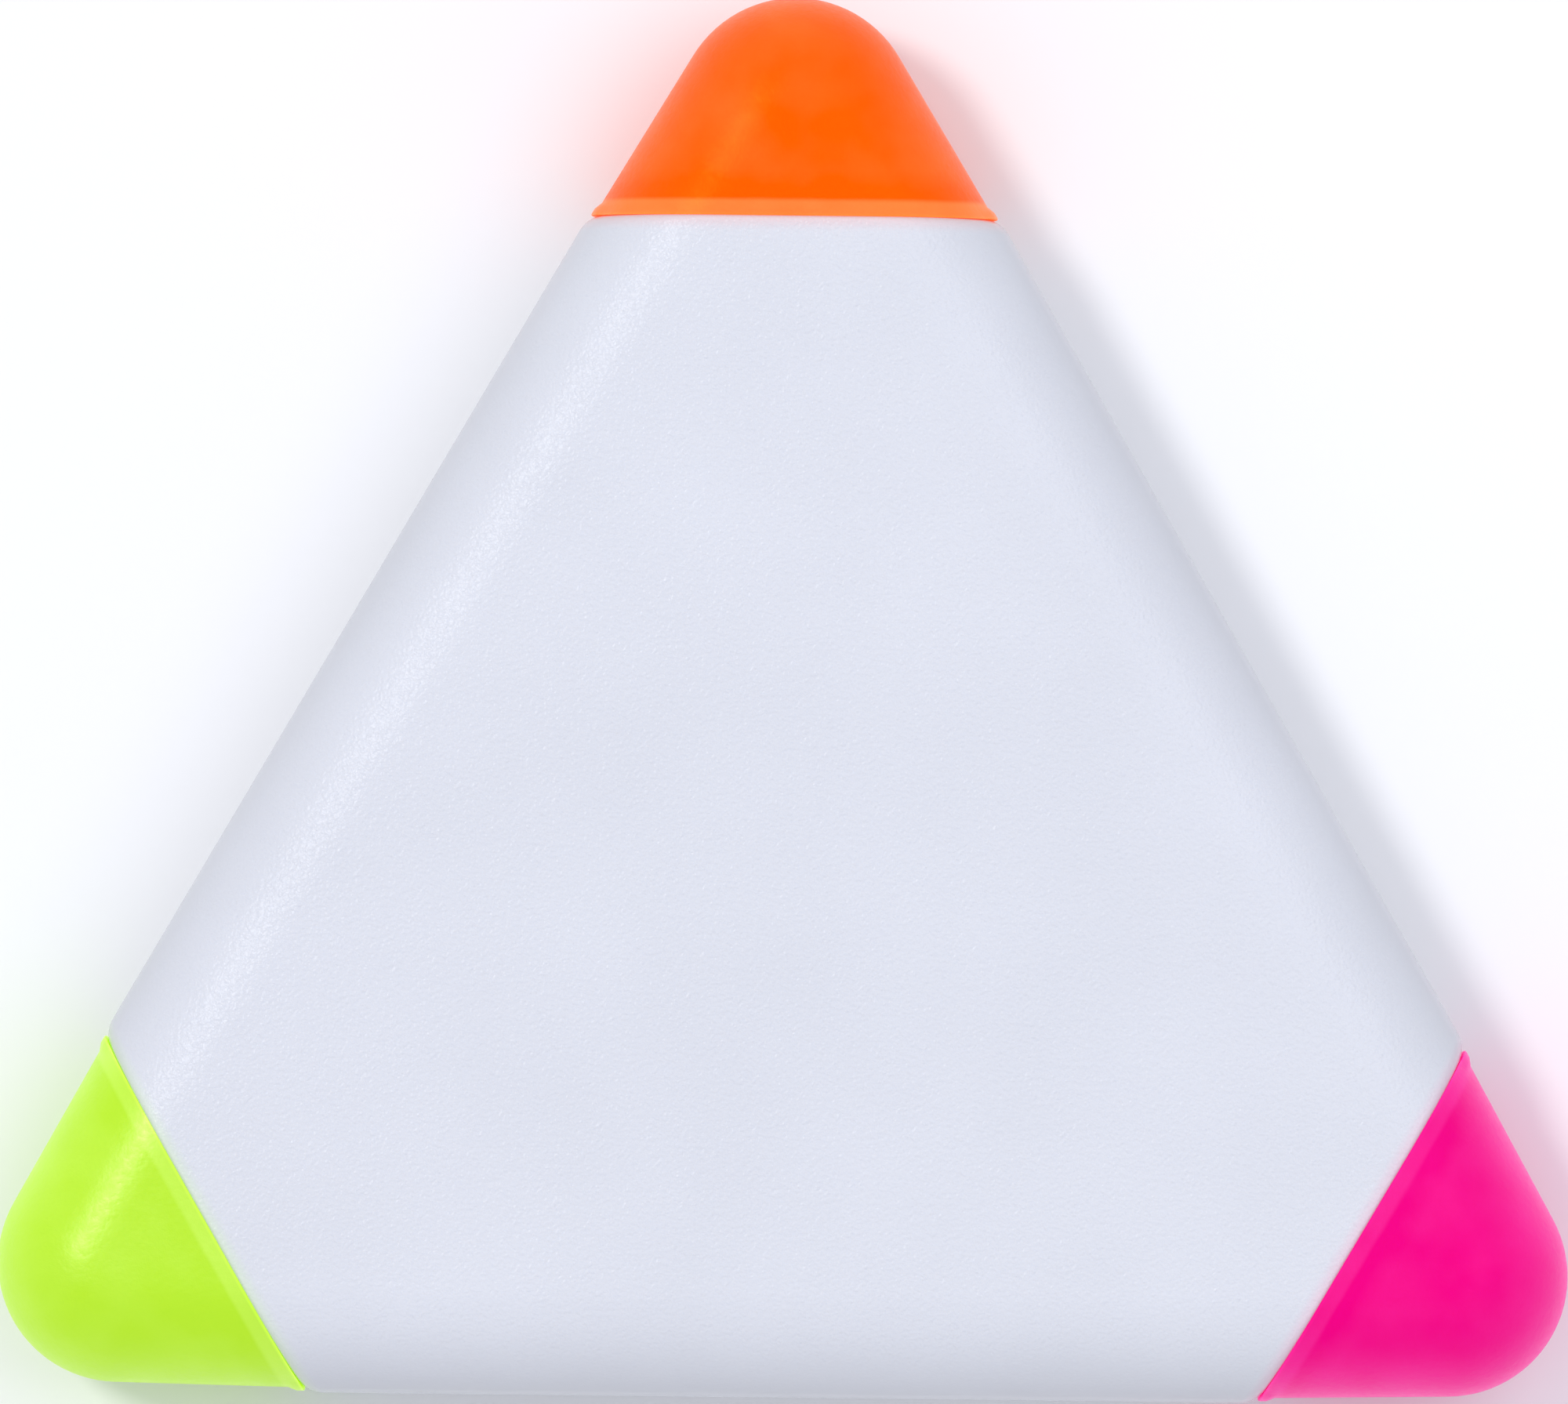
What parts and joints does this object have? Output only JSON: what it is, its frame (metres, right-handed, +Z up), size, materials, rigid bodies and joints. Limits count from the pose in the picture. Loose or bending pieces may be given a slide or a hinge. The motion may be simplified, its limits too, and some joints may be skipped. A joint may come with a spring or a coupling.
{
  "type": "three-colour highlighter",
  "caption": "Flat triangular highlighter: a white body with rolled edges and, at every corner, a marker with a chisel nib under a pull-off translucent cap of its ink's colour.",
  "frame": {"origin": "centre of the triangle on the flat face that it rests on", "axes": "+Z up through the thickness, from the rest face to the printable face; +Y towards the orange marker; +X to the right, along the long side between the yellow-green and pink markers"},
  "size_m": [0.098, 0.0875, 0.016],
  "materials": {
    "shell": "fine frosted white polypropylene",
    "cap_orange": "satin translucent fluorescent orange polypropylene",
    "cap_lime": "satin translucent fluorescent lime polypropylene",
    "cap_pink": "satin translucent fluorescent pink polypropylene",
    "barrel": "smooth white polypropylene",
    "ink_orange": "orange ink in bonded polyester fibre",
    "ink_lime": "lime ink in bonded polyester fibre",
    "ink_pink": "pink ink in bonded polyester fibre",
    "film": "clear wrapping film"
  },
  "bodies": {
    "casing": {"top_shell": "shell", "bottom_shell": "shell", "barrel_orange": "barrel", "barrel_lime": "barrel", "barrel_pink": "barrel", "nib_orange": "ink_orange", "nib_lime": "ink_lime", "nib_pink": "ink_pink", "reservoir_orange": "ink_orange", "reservoir_lime": "ink_lime", "reservoir_pink": "ink_pink", "film_orange": "film", "film_lime": "film", "film_pink": "film", "tail_plug_orange": "barrel", "tail_plug_lime": "barrel", "tail_plug_pink": "barrel", "holder_orange": "barrel", "holder_lime": "barrel", "holder_pink": "barrel"},
    "cap_orange": {"cap_orange": "cap_orange"},
    "cap_lime": {"cap_lime": "cap_lime"},
    "cap_pink": {"cap_pink": "cap_pink"}
  },
  "joints": [
    {"name": "cap_orange_pull", "type": "slide", "parent": "casing", "child": "cap_orange", "axis": [0, 1, 0], "range_m": [0, 0.022]},
    {"name": "cap_lime_pull", "type": "slide", "parent": "casing", "child": "cap_lime", "axis": [-0.866, -0.5, 0], "range_m": [0, 0.022]},
    {"name": "cap_pink_pull", "type": "slide", "parent": "casing", "child": "cap_pink", "axis": [0.866, -0.5, 0], "range_m": [0, 0.022]}
  ]
}
